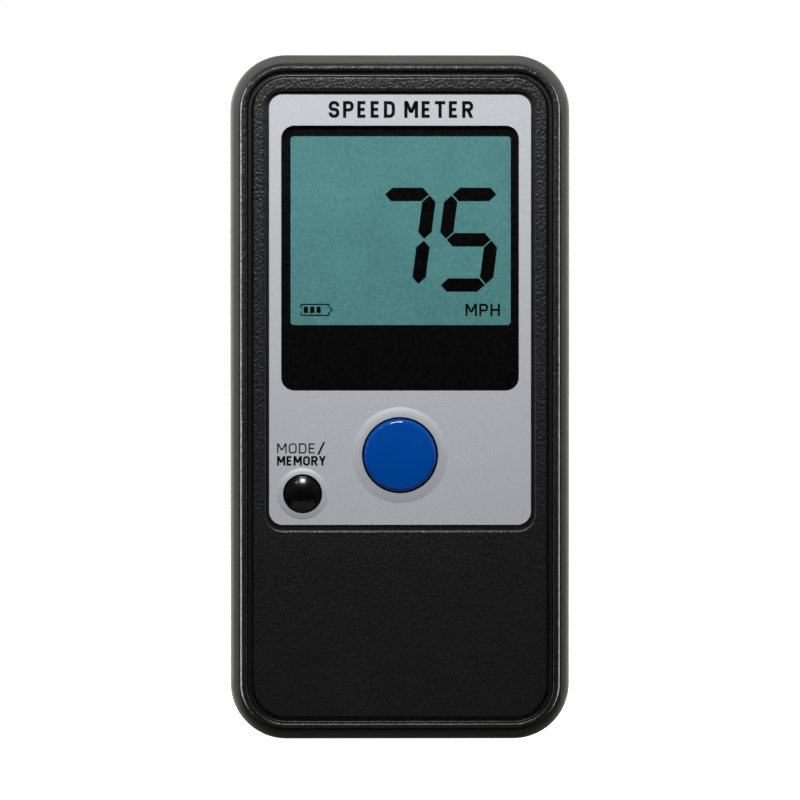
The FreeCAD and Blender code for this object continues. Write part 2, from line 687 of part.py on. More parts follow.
def chip_leads():
    return group(leads(-10.0, 93.0, 10.0, 11, 0.8) + leads(8.0, 95.0, 8.0, 8, 0.8))


def crystal():
    body = slab(10.5, 3.8, 1.8, BOARD_BACK, BOARD_BACK + 3.4, x=8.0, z=85.0)
    return body.makeFillet(0.5, edges_at(body, BOARD_BACK + 3.4))


def power_inductor():
    base = slab(6.0, 6.0, 1.0, BOARD_BACK, BOARD_BACK + 0.6, x=-12.5, z=80.5)
    top = slab(6.0, 6.0, 1.0, BOARD_BACK + 2.4, BOARD_BACK + 3.0, x=-12.5, z=80.5)
    return union([base, top, disc(2.5, BOARD_BACK, BOARD_BACK + 3.0, -12.5, 80.5)])


def electrolytic_capacitors():
    pieces = []
    for x in (-4.0, 3.0):
        body = disc(2.5, BOARD_BACK, BOARD_BACK + 4.8, x, 79.0)
        pieces.append(body.makeFillet(0.3, edges_at(body, BOARD_BACK + 4.8)))
    return group(pieces)


def chip_capacitors():
    """Small passives in two rows below the processor and one beside the signal chip."""
    spots = [(-17.0 + 3.2 * index, 86.0) for index in range(5)]
    spots += [(14.0, 88.0 + 2.4 * index) for index in range(5)]
    spots += [(9.0 + 3.2 * index, 79.0) for index in range(3)]
    return group([block(x - 1.0, x + 1.0, z - 0.6, z + 0.6, BOARD_BACK, BOARD_BACK + 0.9)
                  for x, z in spots])


# ---- Radar front end ---------------------------------------------------------------------

def antenna_board():
    height = ANTENNA_TOP - ANTENNA_BOTTOM
    body = slab(ANTENNA_WIDTH, height, 1.5, ANTENNA_FRONT, ANTENNA_BACK,
                z=ANTENNA_BOTTOM + height / 2)
    for x, z in ANTENNA_POSTS:
        body = body.cut(disc(1.1, ANTENNA_FRONT - 1, ANTENNA_BACK + 1, x, z))
    return body


def antenna_patches():
    """Four columns of series-fed patches on the face that looks out of the case's back."""
    columns = []
    near, far = ANTENNA_BACK, ANTENNA_BACK + 0.1
    for column in range(4):
        x = (column - 1.5) * PATCH_PITCH
        bottom = 88.0 - 1.5 * PATCH_PITCH
        pieces = [block(x - 0.25, x + 0.25, bottom - 4.0, bottom + 3 * PATCH_PITCH, near, far)]
        for row in range(4):
            z = bottom + row * PATCH_PITCH
            pieces.append(block(x - 2.1, x + 2.1, z - 1.65, z + 1.65, near, far))
        columns.append(union(pieces))
    return group(columns)


def antenna_spacers():
    return group([tube(2.0, SCREW_RADIUS, BOARD_BACK, ANTENNA_FRONT, x, z)
                  for x, z in ANTENNA_POSTS])


def antenna_screws():
    return group([screw(x, z, ANTENNA_BACK, SCREW_RADIUS, 5.0, 1.7, 1.1)
                  for x, z in ANTENNA_POSTS])


def rf_shield():
    can = block(-13.0, 13.0, 78.0, 100.0, ANTENNA_FRONT - 3.8, ANTENNA_FRONT)
    upright = [edge for edge in can.Edges if edge.BoundBox.YLength > 1.0]
    can = can.makeFillet(0.8, upright)
    can = can.makeFillet(0.3, edges_at(can, ANTENNA_FRONT - 3.8))
    return can.cut(block(-12.7, 12.7, 78.3, 99.7, ANTENNA_FRONT - 3.5, ANTENNA_FRONT + 1))


def radar_transceiver():
    body = block(-3.0, 3.0, 86.0, 92.0, ANTENNA_FRONT - 0.9, ANTENNA_FRONT)
    return body.makeChamfer(0.15, edges_at(body, ANTENNA_FRONT - 0.9))


def connector_spots():
    return [(-5.08 + 2.54 * column, 72.2 + side) for column in range(5) for side in (-1, 1)]


def board_connector():
    """The housing that carries the pins from the main board to the antenna board."""
    body = block(-7.0, 7.0, 70.0, 74.4, BOARD_BACK, ANTENNA_FRONT)
    half = 0.32
    for x, z in connector_spots():
        body = body.cut(block(x - half, x + half, z - half, z + half,
                              BOARD_BACK - 1, ANTENNA_FRONT + 1))
    return body


def connector_pins():
    return group([block(x - 0.3, x + 0.3, z - 0.3, z + 0.3, BOARD_BACK, ANTENNA_FRONT)
                  for x, z in connector_spots()])


# ---- Batteries ---------------------------------------------------------------------------

def along_z(radius, x, bottom, top):
    return Part.makeCylinder(radius, top - bottom, Vector(x, at_depth(CELL_DEPTH), bottom),
                             Vector(0, 0, 1))


def cell(x, bottom, nub_up):
    """One AAA cell: a can with rounded ends and the positive nub at one of them."""
    can_bottom = bottom if nub_up else bottom + NUB_LENGTH
    can = along_z(CELL_RADIUS, x, can_bottom, can_bottom + CELL_LENGTH - NUB_LENGTH)
    can = can.makeFillet(0.5, [edge for edge in can.Edges if edge.BoundBox.ZLength < 1e-3])
    nub_bottom = bottom + CELL_LENGTH - NUB_LENGTH if nub_up else bottom
    return union([can, along_z(NUB_RADIUS, x, nub_bottom - (0.2 if nub_up else 0),
                               nub_bottom + NUB_LENGTH + (0 if nub_up else 0.2))])


def left_cell():
    return cell(-CELL_X, BAY_TOP - CONTACT_THICKNESS - CELL_LENGTH, nub_up=True)


def right_cell():
    return cell(CELL_X, BAY_BOTTOM + CONTACT_THICKNESS, nub_up=False)


def coil(x, bottom, top, wide_below):
    """A conical compression spring between a contact plate and a cell's flat end."""
    low, rise = bottom + SPRING_WIRE, top - bottom - 2 * SPRING_WIRE
    wide, narrow, turns, points_per_turn = 3.6, 2.4, 4, 12
    steps = turns * points_per_turn
    points = []
    for step in range(steps + 1):
        share = step / steps
        radius = wide + (narrow - wide) * share
        turn = 2 * math.pi * turns * share
        points.append(Vector(radius * math.cos(turn), radius * math.sin(turn), rise * share))
    line = Part.BSplineCurve()
    line.interpolate(points)
    start = line.tangent(line.FirstParameter)[0]
    section = Part.Wire(Part.makeCircle(SPRING_WIRE, points[0], start))
    spring = Part.Wire(line.toShape()).makePipeShell([section], True, False)
    if not wide_below:
        spring.rotate(Vector(0, 0, rise / 2), Vector(1, 0, 0), 180)
    spring.translate(Vector(x, at_depth(CELL_DEPTH), low))
    return spring


def battery_springs():
    pack = [coil(-CELL_X, BAY_BOTTOM + CONTACT_THICKNESS,
                 BAY_TOP - CONTACT_THICKNESS - CELL_LENGTH, True),
            coil(CELL_X, BAY_BOTTOM + CONTACT_THICKNESS + CELL_LENGTH,
                 BAY_TOP - CONTACT_THICKNESS, False)]
    return group(pack)


def bridge_contact():
    """The plate that joins the two cells at the bottom of the bay."""
    return block(-10.6, 10.6, BAY_BOTTOM, BAY_BOTTOM + CONTACT_THICKNESS, 9.4, 18.4)


def terminal_contacts():
    """The two plates at the top of the bay, each with a leg down to the main board."""
    low = BAY_TOP - CONTACT_THICKNESS
    plates = []
    for side in (-1, 1):
        inner, outer = sorted((side * 1.0, side * 10.4))
        plate = block(inner, outer, low, BAY_TOP, 9.4, 18.4)
        leg = block(side * CELL_X - 1.0, side * CELL_X + 1.0, low, BAY_TOP, BOARD_BACK, 9.6)
        plates.append(union([plate, leg]))
    return group(plates)


# ---- Export ------------------------------------------------------------------------------

PIECES = [
    front_shell, side_band, rear_shell, battery_door, door_label, case_screws,
    front_label, display_window, main_button, mode_button,
    display_gasket, display_front_glass, display_rear_glass, display_reflector,
    display_frame, contact_strip,
    main_board, board_screws, main_switch, main_switch_plunger, mode_switch,
    mode_switch_plunger, processor_chip, signal_chip, chip_leads, crystal, power_inductor,
    electrolytic_capacitors, chip_capacitors,
    antenna_board, antenna_patches, antenna_spacers, antenna_screws, rf_shield,
    radar_transceiver, board_connector, connector_pins,
    left_cell, right_cell, battery_springs, bridge_contact, terminal_contacts,
]

os.makedirs("parts", exist_ok=True)
for build in PIECES:
    shape = build()
    assert shape.isValid() and shape.Solids, build.__name__
    print(f"{build.__name__:24s} solids {len(shape.Solids):3d}  volume {shape.Volume:9.2f} mm3")
    shape.exportStep(f"parts/{build.__name__}.step")
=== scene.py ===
import math

import bpy
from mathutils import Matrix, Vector


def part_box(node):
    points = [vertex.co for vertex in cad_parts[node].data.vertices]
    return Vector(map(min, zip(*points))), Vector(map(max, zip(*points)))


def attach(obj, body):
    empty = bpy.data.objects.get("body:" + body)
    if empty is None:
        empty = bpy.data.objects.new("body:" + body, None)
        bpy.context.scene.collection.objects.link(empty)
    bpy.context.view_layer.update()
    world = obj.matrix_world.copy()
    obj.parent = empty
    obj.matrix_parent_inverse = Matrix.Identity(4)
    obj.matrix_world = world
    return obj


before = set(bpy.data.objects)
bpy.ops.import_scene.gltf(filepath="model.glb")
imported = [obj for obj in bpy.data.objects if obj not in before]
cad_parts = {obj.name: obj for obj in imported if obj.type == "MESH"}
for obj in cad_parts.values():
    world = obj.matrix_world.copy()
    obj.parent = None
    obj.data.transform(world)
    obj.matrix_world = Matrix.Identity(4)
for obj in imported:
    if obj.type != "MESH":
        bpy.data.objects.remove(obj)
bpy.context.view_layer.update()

# A palm-size speed radar standing on its bottom end, its display towards -Y.
# Lengths are in metres. Depths, the window's edges and the buttons' places come from the packed
# nodes. Where the prints stand on the front is measured from the middle of the bottom end.

MM = 0.001
HOUSING = "housing"
BAND_SETBACK = 2.0 * MM         # the band's edges lie this far behind the case's front and back
LABEL_THICKNESS = 0.25 * MM
BUTTON_FLANGE = 1.2 * MM        # hidden flange round each button
COLLAR_PAINTED_SHADE = 0.18           # painted shade: how much darker the label's film is painted at a button's edge
MAIN_PAINTED_SHADE_WIDTH = 1.7 * MM    # how far the painted shade reaches out from the large button's edge
MODE_PAINTED_SHADE_WIDTH = 1.0 * MM    # how far the painted shade reaches out from the small button's edge
NOISE_LOW = 0.3                 # nearly all of a noise texture's values lie above this
NOISE_HIGH = 0.7                # and below this

label_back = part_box("front_label")[1].y
glass_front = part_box("display_front_glass")[0].y
window_low, window_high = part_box("display_window")
main_low, main_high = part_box("main_button")
mode_low, mode_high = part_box("mode_button")
case_low, case_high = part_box("side_band")


def srgb(red, green, blue):
    """A colour given as 0-255 screen values, as the linear one that shaders take."""
    def linear(value):
        share = value / 255
        return share / 12.92 if share <= 0.04045 else ((share + 0.055) / 1.055) ** 2.4
    return linear(red), linear(green), linear(blue), 1.0


def dimmed(colour, share):
    """A linear colour at this share of its brightness."""
    return tuple(share * value for value in colour[:3]) + (1.0,)


# ---- Materials ---------------------------------------------------------------------------

class Finish:
    """A Principled material and the few kinds of node that its patterns are made of.
    Uniform values go straight on the shader's own sockets. Pattern sizes are in metres."""

    def __init__(self, name, **uniform):
        self.material = bpy.data.materials.new(name)
        self.material.use_nodes = True
        self.tree = self.material.node_tree
        self.shader = self.tree.nodes["Principled BSDF"]
        self.place = self.tree.nodes.new("ShaderNodeTexCoord").outputs["Object"]
        for socket, value in uniform.items():
            self.shader.inputs[socket.replace("_", " ")].default_value = value

    def feed(self, socket, value):
        """Links an output to a socket, or sets the socket to a plain value."""
        if isinstance(value, bpy.types.NodeSocket):
            self.tree.links.new(value, socket)
        else:
            socket.default_value = value

    def drive(self, name, value):
        self.feed(self.shader.inputs[name], value)

    def stretched(self, stretch):
        """The object's coordinates, stretched along each axis."""
        if stretch == (1, 1, 1):
            return self.place
        mapping = self.tree.nodes.new("ShaderNodeMapping")
        mapping.inputs["Scale"].default_value = stretch
        self.tree.links.new(self.place, mapping.inputs["Vector"])
        return mapping.outputs["Vector"]

    def noise(self, size, detail=2.0, stretch=(1, 1, 1)):
        """Soft noise with features of this size."""
        node = self.tree.nodes.new("ShaderNodeTexNoise")
        node.inputs["Scale"].default_value = 1 / size
        node.inputs["Detail"].default_value = detail
        self.tree.links.new(self.stretched(stretch), node.inputs["Vector"])
        return node.outputs["Fac"]

    def patches(self, size, low, high, detail=2.0, stretch=(1, 1, 1)):
        """Noise with features of this size, spread out to go from low to high."""
        return self.span(self.noise(size, detail, stretch), NOISE_LOW, NOISE_HIGH, low, high)

    def cells(self, size, feature="F1", metric="EUCLIDEAN"):
        """The distance to the nearest of many scattered points, this far apart."""
        node = self.tree.nodes.new("ShaderNodeTexVoronoi")
        node.distance = metric
        node.feature = feature
        node.inputs["Scale"].default_value = 1 / size
        self.tree.links.new(self.place, node.inputs["Vector"])
        return node.outputs["Distance"]

    def along(self, axis):
        """One of the object's coordinates, in metres."""
        split = self.tree.nodes.new("ShaderNodeSeparateXYZ")
        self.tree.links.new(self.place, split.inputs["Vector"])
        return split.outputs[axis]

    def away_from(self, x, z):
        """The distance from the line along Y through this (x, z), in metres."""
        across = self.maths("SUBTRACT", self.along("X"), x)
        up = self.maths("SUBTRACT", self.along("Z"), z)
        squares = [self.maths("MULTIPLY", side, side) for side in (across, up)]
        return self.maths("SQRT", self.maths("ADD", *squares))

    def span(self, value, start, end, low, high):
        """The value's stretch from start to end, turned into low to high and clamped."""
        node = self.tree.nodes.new("ShaderNodeMapRange")
        settings = {"Value": value, "From Min": start, "From Max": end,
                    "To Min": low, "To Max": high}
        for name, setting in settings.items():
            self.feed(node.inputs[name], setting)
        return node.outputs["Result"]

    def maths(self, operation, first, second=0.0):
        node = self.tree.nodes.new("ShaderNodeMath")
        node.operation = operation
        self.feed(node.inputs[0], first)
        self.feed(node.inputs[1], second)
        return node.outputs["Value"]

    def tint(self, factor, first, second):
        """A colour that goes from first to second as factor goes from 0 to 1."""
        node = self.tree.nodes.new("ShaderNodeMix")
        node.data_type = "RGBA"
        self.feed(node.inputs["Factor"], factor)
        self.feed(node.inputs[6], first)
        self.feed(node.inputs[7], second)
        return node.outputs[2]

    def relief(self, height, depth, under=None):
        """A bump of this depth. Pass the last one as under to lay one over another."""
        node = self.tree.nodes.new("ShaderNodeBump")
        node.inputs["Distance"].default_value = depth
        self.tree.links.new(height, node.inputs["Height"])
        if under is not None:
            self.tree.links.new(under, node.inputs["Normal"])
        self.tree.links.new(node.outputs["Normal"], self.shader.inputs["Normal"])
        return node.outputs["Normal"]


def moulded(name, colour, roughness, grain, depth, **uniform):
    """Moulded plastic: faint clouding, an even fine grain, and a slightly uneven sheen."""
    finish = Finish(name, **uniform)
    cloud = finish.patches(9 * MM, 0, 1)
    finish.drive("Base Color", finish.tint(cloud, dimmed(colour, 0.86), colour))
    finish.drive("Roughness", finish.patches(2.5 * MM, roughness - 0.05, roughness + 0.05, 4))
    finish.relief(finish.noise(grain, 3), depth)
    return finish.material


def grained_black():
    """The shells: black plastic with a leathery cast grain that catches small glints.
    The recesses below the outermost faces are smooth, and the end that is held is worn."""
    finish = Finish("grained_black", Specular_IOR_Level=0.55)
    blotch = finish.patches(6 * MM, 0, 1)
    finish.drive("Base Color", finish.tint(blotch, srgb(11, 11, 13), srgb(15, 15, 18)))
    worn_level, full_level, worn_share = 30 * MM, 46 * MM, 0.62
    worn = finish.span(finish.along("Z"), worn_level, full_level, worn_share, 1)
    skin = case_high.y + BAND_SETBACK
    smooth_below, grained_above = skin - 0.92 * MM, skin - 0.75 * MM
    outward = finish.maths("ABSOLUTE", finish.along("Y"))
    grained = finish.span(outward, smooth_below, grained_above, 0, worn)
    speckle = finish.noise(0.26 * MM, 3)
    smooth_roughness = 0.37
    grain_roughness = finish.span(speckle, 0.4, 0.6, 0.36, 0.5)
    finish.drive("Roughness", finish.span(grained, 0, 1, smooth_roughness, grain_roughness))
    pebble = finish.maths("MULTIPLY", finish.cells(0.48 * MM, "SMOOTH_F1"), grained)
    under = finish.relief(pebble, 0.09 * MM)
    finish.relief(finish.maths("MULTIPLY", speckle, grained), 0.05 * MM, under=under)
    return finish.material


def band_rubber():
    """The side band: warm dark grey elastomer, satin, with a very fine skin."""
    finish = Finish("band_rubber", Specular_IOR_Level=0.2, Sheen_Weight=0.1, Sheen_Roughness=0.4)
    blotch = finish.patches(11 * MM, 0, 1, 3)
    finish.drive("Base Color", finish.tint(blotch, srgb(79, 79, 76), srgb(83, 83, 80)))
    finish.drive("Roughness", finish.patches(3 * MM, 0.61, 0.67, 4))
    finish.relief(finish.noise(0.12 * MM, 2), 0.006 * MM)
    return finish.material


def silver_film(name, dark, light, holes=()):
    """Silver polyester: an even metallic flake under a matte coat. It is painted darker round holes,
    as painted shade from the buttons that stand proud of it. Each hole is given as its (x, z)
    and the radii that the painted shade spans."""
    finish = Finish(name, Metallic=0.2, Specular_IOR_Level=0.3)
    flake = finish.patches(0.16 * MM, 0, 1, 3)
    colour = finish.tint(flake, dark, light)
    # Painted shade: the film is painted darker next to each button, fading out to its own colour.
    for x, z, inner, outer in holes:
        painted_shade = finish.span(finish.away_from(x, z), inner, outer, COLLAR_PAINTED_SHADE, 0)
        colour = finish.tint(painted_shade, colour, (0, 0, 0, 1))
    finish.drive("Base Color", colour)
    finish.drive("Roughness", finish.patches(0.3 * MM, 0.5, 0.6))
    finish.relief(finish.noise(0.1 * MM, 2), 0.004 * MM)
    return finish.material


def display_teal():
    """The display's face: teal, a little uneven, with the fine grain of its polariser."""
    finish = Finish("display_teal", Specular_IOR_Level=0.5)
    cloud = finish.patches(7 * MM, 0, 0.4, 3)
    grain = finish.span(finish.noise(0.5 * MM, 2), 0.4, 0.6, 0, 0.6)
    mixed = finish.maths("ADD", cloud, grain)
    finish.drive("Base Color", finish.tint(mixed, srgb(82, 146, 148), srgb(98, 165, 164)))
    finish.drive("Roughness", finish.patches(0.4 * MM, 0.4, 0.5))
    return finish.material


def clear_window():
    """The window: clear acrylic with a hard coat, seen mostly by its reflections."""
    finish = Finish("clear_window", Base_Color=(0, 0, 0, 1), Alpha=0.05, IOR=1.49)
    finish.drive("Roughness", finish.patches(4 * MM, 0.02, 0.07, 3))
    return finish.material


def polished(name, colour, roughness):
    """Polished plastic: a deep gloss with faint moulding waves and fingerprints."""
    finish = Finish(name, Specular_IOR_Level=0.4)
    cloud = finish.patches(5 * MM, 0, 1)
    finish.drive("Base Color", finish.tint(cloud, dimmed(colour, 0.93), colour))
    smear = finish.patches(1.6 * MM, roughness - 0.04, roughness + 0.04, 4, (1, 1, 0.5))
    finish.drive("Roughness", smear)
    finish.relief(finish.noise(2.2 * MM, 1), 0.004 * MM)
    return finish.material


def print_ink(name, colour, roughness):
    """Screen-printed ink, faintly mottled."""
    finish = Finish(name, Specular_IOR_Level=0.2)
    mottle = finish.patches(0.25 * MM, 0, 1, 3)
    finish.drive("Base Color", finish.tint(mottle, dimmed(colour, 0.8), colour))
    finish.drive("Roughness", finish.patches(0.8 * MM, roughness - 0.05, roughness + 0.05))
    return finish.material


def metal(name, colour, roughness, streak=(1, 1, 1)):
    """Drawn, stamped or plated metal, with streaks along the way it was worked."""
    finish = Finish(name, Metallic=1.0)
    scuff = finish.patches(0.35 * MM, 0, 1, 4, streak)
    finish.drive("Base Color", finish.tint(scuff, dimmed(colour, 0.8), colour))
    finish.drive("Roughness", finish.span(scuff, 0, 1, roughness - 0.08, roughness + 0.1))
    finish.relief(finish.noise(0.2 * MM, 3, stretch=streak), 0.004 * MM)
    return finish.material


def circuit_board(name, mask, trace):
    """A circuit board: square-cornered tracks that show through the solder mask."""
    finish = Finish(name, Coat_Weight=0.3, Coat_Roughness=0.2)
    # The tracks' spacing and edges are shares of the size of the cells that they run round.
    spacing, track_edges = 0.09, (0.04, 0.05)
    ripple = finish.maths("PINGPONG", finish.cells(3.2 * MM, metric="MANHATTAN"), spacing)
    track = finish.span(ripple, *track_edges, 0, 1)
    weave = finish.patches(0.3 * MM, 0, 0.15)
    finish.drive("Base Color", finish.tint(finish.maths("ADD", track, weave), mask, trace))
    finish.drive("Roughness", finish.span(track, 0, 1, 0.45, 0.32))
    finish.relief(track, 0.02 * MM)
    return finish.material


def cell_jacket(name, middle, top_end):
    """A cell's printed jacket: dark, with a copper-coloured shoulder at its positive end."""
    finish = Finish(name, Metallic=0.6, Specular_IOR_Level=0.5)
    jacket_reach, blend = 9 * MM, 0.1 * MM
    edge = middle + (jacket_reach if top_end else -jacket_reach)
    shoulder = finish.span(finish.along("Z"), edge - blend, edge + blend, 0, 1)
    if not top_end:
        shoulder = finish.maths("SUBTRACT", 1.0, shoulder)
    finish.drive("Base Color", finish.tint(shoulder, srgb(30, 31, 34), srgb(176, 112, 62)))
    scuff = finish.noise(0.6 * MM, 4, stretch=(1, 1, 0.2))
    finish.drive("Roughness", finish.span(scuff, NOISE_LOW, NOISE_HIGH, 0.25, 0.42))
    finish.relief(scuff, 0.004 * MM)
    return finish.material


def foam():
    """Closed-cell foam, pitted all over, with painted shade darkening the bottom of each pit."""
    finish = Finish("foam", Specular_IOR_Level=0.2)
    pits_and_shade = finish.cells(0.25 * MM)
    # Painted shade: the colour is darker where each pit is deepest.
    finish.drive("Base Color", finish.tint(pits_and_shade, srgb(26, 26, 27), srgb(52, 52, 53)))
    finish.drive("Roughness", finish.span(pits_and_shade, 0, 1, 0.95, 0.8))
    finish.relief(pits_and_shade, 0.08 * MM)
    return finish.material


def layered_rubber():
    """The contact strip: thin black conducting layers in pale rubber."""
    finish = Finish("layered_rubber", Specular_IOR_Level=0.3)
    layer_thickness = 0.1 * MM
    ripple = finish.maths("PINGPONG", finish.along("X"), layer_thickness)
    layer = finish.span(ripple, 0.04 * MM, 0.05 * MM, 0, 1)
    finish.drive("Base Color", finish.tint(layer, srgb(40, 40, 42), srgb(196, 190, 182)))
    finish.drive("Roughness", finish.patches(0.4 * MM, 0.6, 0.75))
    return finish.material


def paint(material, *names):
    """Puts a material on every slot of these CAD nodes."""
    for name in names:
        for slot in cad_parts[name].material_slots:
            slot.material = material


def paint_nodes():
    left_low, left_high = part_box("left_cell")
    right_low, right_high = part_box("right_cell")
    paint(grained_black(), "front_shell", "rear_shell", "battery_door")
    paint(band_rubber(), "side_band")
    # Each button's hole, with the radii of the painted shade round it.
    holes = []
    for low, high, width in ((main_low, main_high, MAIN_PAINTED_SHADE_WIDTH),
                             (mode_low, mode_high, MODE_PAINTED_SHADE_WIDTH)):
        radius = (high.x - low.x) / 2 - BUTTON_FLANGE
        holes.append(((low.x + high.x) / 2, (low.z + high.z) / 2, radius, radius + width))
    label_film = silver_film("label_silver", srgb(198, 202, 207), srgb(212, 216, 221), holes)
    paint(label_film, "front_label")
    paint(silver_film("door_film", srgb(150, 153, 157), srgb(168, 171, 175)), "door_label")
    paint(clear_window(), "display_window")
    paint(polished("button_blue", srgb(0, 80, 177), 0.09), "main_button")
    paint(polished("button_black", srgb(10, 10, 11), 0.17), "mode_button")
    paint(display_teal(), "display_front_glass")
    paint(moulded("rear_glass", srgb(120, 150, 148), 0.12, 0.5 * MM, 0.002 * MM, Alpha=0.6),
          "display_rear_glass")
    paint(metal("reflector_film", srgb(214, 216, 210), 0.4), "display_reflector")
    paint(foam(), "display_gasket")
    paint(layered_rubber(), "contact_strip")
    paint(moulded("frame_black", srgb(24, 24, 25), 0.5, 0.25 * MM, 0.015 * MM),
          "display_frame", "board_connector")
    paint(circuit_board("main_board_green", srgb(16, 78, 48), srgb(38, 112, 70)), "main_board")
    paint(circuit_board("antenna_laminate", srgb(186, 178, 150), srgb(198, 190, 164)), "antenna_board")
    paint(metal("screw_steel", srgb(74, 74, 76), 0.35), "case_screws", "board_screws", "antenna_screws")
    paint(metal("stamped_steel", srgb(176, 177, 178), 0.34, streak=(1, 1, 0.15)),
          "main_switch", "mode_switch")
    paint(moulded("plunger_black", srgb(30, 30, 31), 0.4, 0.2 * MM, 0.01 * MM),
          "main_switch_plunger", "mode_switch_plunger")
    paint(moulded("moulded_epoxy", srgb(26, 26, 27), 0.55, 0.12 * MM, 0.012 * MM),
          "processor_chip", "signal_chip", "radar_transceiver")
    paint(metal("tin_plate", srgb(190, 191, 193), 0.3), "chip_leads", "crystal", "rf_shield")
    paint(moulded("ferrite", srgb(58, 58, 60), 0.7, 0.15 * MM, 0.03 * MM), "power_inductor")
    paint(metal("drawn_aluminium", srgb(205, 206, 208), 0.3, streak=(1, 0.15, 1)),
          "electrolytic_capacitors")
    paint(moulded("fired_ceramic", srgb(168, 142, 104), 0.5, 0.2 * MM, 0.01 * MM), "chip_capacitors")
    paint(metal("gold_plate", srgb(216, 176, 98), 0.28), "antenna_patches", "connector_pins")
    paint(moulded("nylon", srgb(222, 218, 206), 0.45, 0.3 * MM, 0.01 * MM, Subsurface_Weight=0.1),
          "antenna_spacers")
    paint(cell_jacket("cell_jacket_up", (left_low.z + left_high.z) / 2, True), "left_cell")
    paint(cell_jacket("cell_jacket_down", (right_low.z + right_high.z) / 2, False), "right_cell")
    paint(metal("nickel_plate", srgb(196, 193, 184), 0.25, streak=(0.2, 1, 1)),
          "battery_springs", "bridge_contact", "terminal_contacts")


# ---- Prints and the display's segments ---------------------------------------------------

def housed(name, vertices, faces, material):
    """A mesh piece that rides on the housing."""
    mesh = bpy.data.meshes.new(name)
    mesh.from_pydata(vertices, [], faces)
    mesh.update()
    mesh.materials.append(material)
    piece = bpy.data.objects.new(name, mesh)
    bpy.context.scene.collection.objects.link(piece)
    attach(piece, HOUSING)


def plates(name, outlines, front, back, material):
    """Thin plates with these (x, z) outlines, listed anticlockwise as seen from the front."""
    vertices, faces = [], []
    for points in outlines:
        start, count = len(vertices), len(points)
        vertices += [(x, front, z) for x, z in points] + [(x, back, z) for x, z in points]
        faces.append([start + index for index in range(count)])
        faces.append([start + count + index for index in reversed(range(count))])
        for index in range(count):
            after = (index + 1) % count
            faces.append([start + after, start + index, start + count + index, start + count + after])
    housed(name, vertices, faces, material)


def rounded_loop(width, height, radius, x, z):
    """The (x, z) points of a rounded rectangle, anticlockwise."""
    points, steps = [], 8
    for corner in range(4):
        side = 1 if corner in (0, 3) else -1
        level = 1 if corner in (0, 1) else -1
        centre_x = x + side * (width / 2 - radius)
        centre_z = z + level * (height / 2 - radius)
        for step in range(steps + 1):
            turn = math.radians(90) * (corner + step / steps)
            points.append((centre_x + radius * math.cos(turn), centre_z + radius * math.sin(turn)))
    return points


def window_print():
    """The black border printed on the back of the window, with the clear area left open."""
    margin, outer_radius = 0.06 * MM, 2.14 * MM
    view_width, view_height, view_radius = 37.97 * MM, 32.65 * MM, 0.6 * MM
    view_x, view_z = 0.11 * MM, 87.75 * MM
    middle_x = (window_low.x + window_high.x) / 2
    middle_z = (window_low.z + window_high.z) / 2
    width = window_high.x - window_low.x - 2 * margin
    height = window_high.z - window_low.z - 2 * margin
    outer = rounded_loop(width, height, outer_radius, middle_x, middle_z)
    inner = rounded_loop(view_width, view_height, view_radius, view_x, view_z)
    front, back = window_high.y - 0.06 * MM, window_high.y - 0.02 * MM
    vertices = [(x, y, z) for y in (front, back) for loop in (outer, inner) for x, z in loop]
    count = len(outer)
    faces = []
    for index in range(count):
        after = (index + 1) % count
        outer_front, inner_front = (index, after), (count + index, count + after)
        outer_back, inner_back = [(2 * count + first, 2 * count + second)
                                  for first, second in (outer_front, inner_front)]
        faces.append([outer_front[0], outer_front[1], inner_front[1], inner_front[0]])
        faces.append([outer_back[1], outer_back[0], inner_back[0], inner_back[1]])
        faces.append([outer_front[1], outer_front[0], outer_back[0], outer_back[1]])
        faces.append([inner_front[0], inner_front[1], inner_back[1], inner_back[0]])
    ink = print_ink("window_ink", srgb(7, 7, 7), 0.3)
    housed("window_print", vertices, faces, ink)


SEGMENT_ENDS = {
    "top": ((0, 2), (1, 2)), "middle": ((0, 1), (1, 1)), "bottom": ((0, 0), (1, 0)),
    "upper_left": ((0, 1), (0, 2)), "upper_right": ((1, 1), (1, 2)),
    "lower_left": ((0, 0), (0, 1)), "lower_right": ((1, 0), (1, 1)),
}
DIGIT_SEGMENTS = {
    "7": ("top", "upper_right", "lower_right"),
    "5": ("top", "upper_left", "middle", "lower_right", "bottom"),
}


def digit_outlines(digit, left, bottom):
    """A slanted seven-segment digit. Each segment is a bar with a point at both ends.
    Its width and half its height are taken between the middles of its bars."""
    width, half_height, slant = 7.9 * MM, 7.81 * MM, 0.13
    thickness, gap = 2.3 * MM, 0.17 * MM
    outlines = []
    for segment in DIGIT_SEGMENTS[digit]:
        (x0, z0), (x1, z1) = SEGMENT_ENDS[segment]
        start = Vector((x0 * width, z0 * half_height))
        end = Vector((x1 * width, z1 * half_height))
        along = (end - start).normalized()
        across = Vector((-along.y, along.x)) * thickness / 2
        tip = along * gap
        shoulder = along * (gap + thickness / 2)
        corners = [start + tip, start + shoulder - across, end - shoulder - across,
                   end - tip, end - shoulder + across, start + shoulder + across]
        outlines.append([(left + p.x + slant * p.y, bottom + p.y) for p in corners])
    return outlines


def bar(left, right, bottom, top):
    return [(left, bottom), (right, bottom), (right, top), (left, top)]


